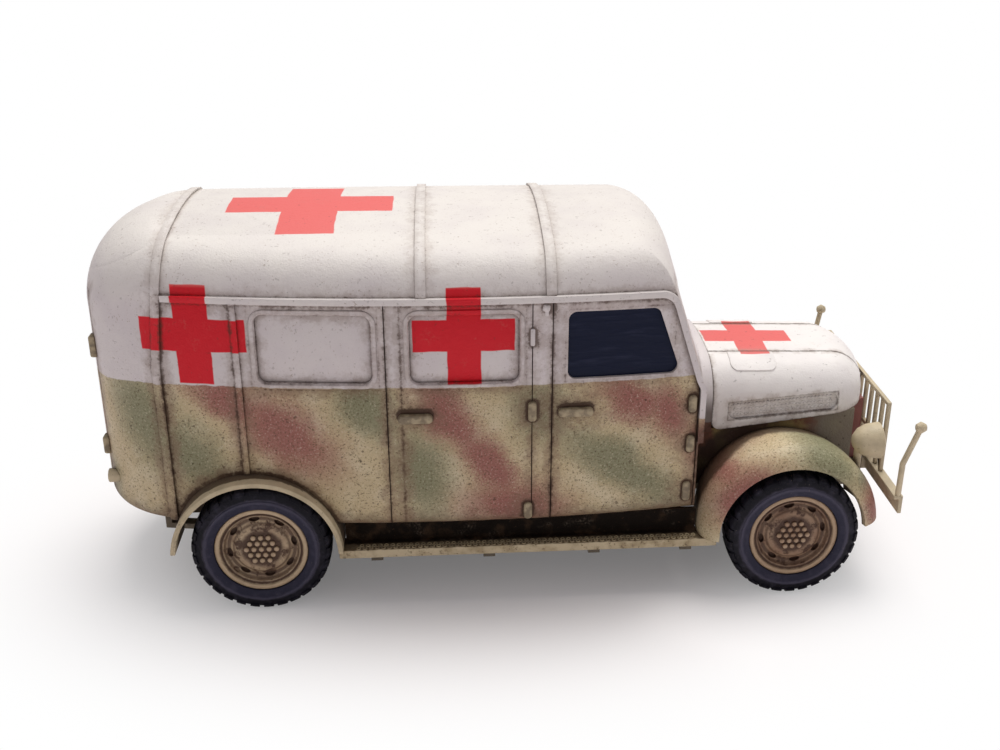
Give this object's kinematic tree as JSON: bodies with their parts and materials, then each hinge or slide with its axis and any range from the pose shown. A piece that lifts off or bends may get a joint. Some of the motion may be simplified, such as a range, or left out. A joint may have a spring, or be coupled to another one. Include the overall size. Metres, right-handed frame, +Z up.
{
  "type": "scale model of a military ambulance truck",
  "caption": "Small scale model of a two-axle ambulance truck with a closed box body, rounded bonnet and wheels that roll.",
  "frame": {"origin": "middle of the model's length and width, on the surface that the tyres stand on", "axes": "+X forward, +Y to the vehicle's left, +Z up"},
  "size_m": [0.0694, 0.029, 0.0322],
  "materials": {
    "white": "matt white paint, weathered",
    "camouflage": "matt three-colour camouflage",
    "khaki": "matt khaki paint",
    "chassis": "matt dark khaki, washed",
    "navy_pane": "dark painted windows",
    "tyre": "matt dark",
    "wheel": "matt khaki with a brown wash"
  },
  "bodies": {
    "truck": {"board_brackets": "chassis", "body_beads": "white", "body_side_left": "camouflage", "body_side_right": "camouflage", "bonnet_centre": "white", "bonnet_side_left": "white", "bonnet_side_right": "white", "bonnet_valance_left": "camouflage", "bonnet_valance_right": "camouflage", "brush_guard": "khaki", "cab_door_left": "camouflage", "cab_door_panes": "navy_pane", "cab_door_right": "camouflage", "cross_members": "chassis", "door_handles": "khaki", "door_hinges": "camouflage", "drip_rails": "white", "engine_block": "chassis", "exhaust": "chassis", "floor": "chassis", "frame_rails": "chassis", "front_axle": "chassis", "front_bumper": "khaki", "front_wing_left": "camouflage", "front_wing_right": "camouflage", "gearbox_and_shaft": "chassis", "headlamps": "khaki", "leaf_springs_front": "chassis", "leaf_springs_rear": "chassis", "marker_rods": "khaki", "radiator_grille": "camouflage", "rear_axle": "chassis", "rear_door_left": "camouflage", "rear_door_panes": "navy_pane", "rear_door_right": "camouflage", "rear_mudguard_left": "khaki", "rear_mudguard_right": "khaki", "roof_cab": "white", "roof_rear": "white", "running_board_left": "khaki", "running_board_right": "khaki", "scuttle": "camouflage", "scuttle_band": "white", "side_door_left": "camouflage", "side_door_right": "camouflage", "side_window_panels": "white", "tail_body": "camouflage", "tail_lamps": "khaki", "tail_roof_cap": "white", "windscreen_frame": "white", "windscreen_panes": "navy_pane"},
    "wheel_front_left_body": {"tyre_front_left": "tyre", "wheel_front_left": "wheel"},
    "wheel_front_right_body": {"tyre_front_right": "tyre", "wheel_front_right": "wheel"},
    "wheel_rear_left_body": {"tyre_rear_left": "tyre", "wheel_rear_left": "wheel"},
    "wheel_rear_right_body": {"tyre_rear_right": "tyre", "wheel_rear_right": "wheel"}
  },
  "joints": [
    {"name": "wheel_front_left_spin", "type": "hinge", "parent": "truck", "child": "wheel_front_left_body", "pos_m": [0.02458, 0, 0.0058], "axis": [0, 1, 0], "continuous": true},
    {"name": "wheel_front_right_spin", "type": "hinge", "parent": "truck", "child": "wheel_front_right_body", "pos_m": [0.02458, 0, 0.0058], "axis": [0, 1, 0], "continuous": true},
    {"name": "wheel_rear_left_spin", "type": "hinge", "parent": "truck", "child": "wheel_rear_left_body", "pos_m": [-0.02052, 0, 0.0058], "axis": [0, 1, 0], "continuous": true},
    {"name": "wheel_rear_right_spin", "type": "hinge", "parent": "truck", "child": "wheel_rear_right_body", "pos_m": [-0.02052, 0, 0.0058], "axis": [0, 1, 0], "continuous": true}
  ]
}
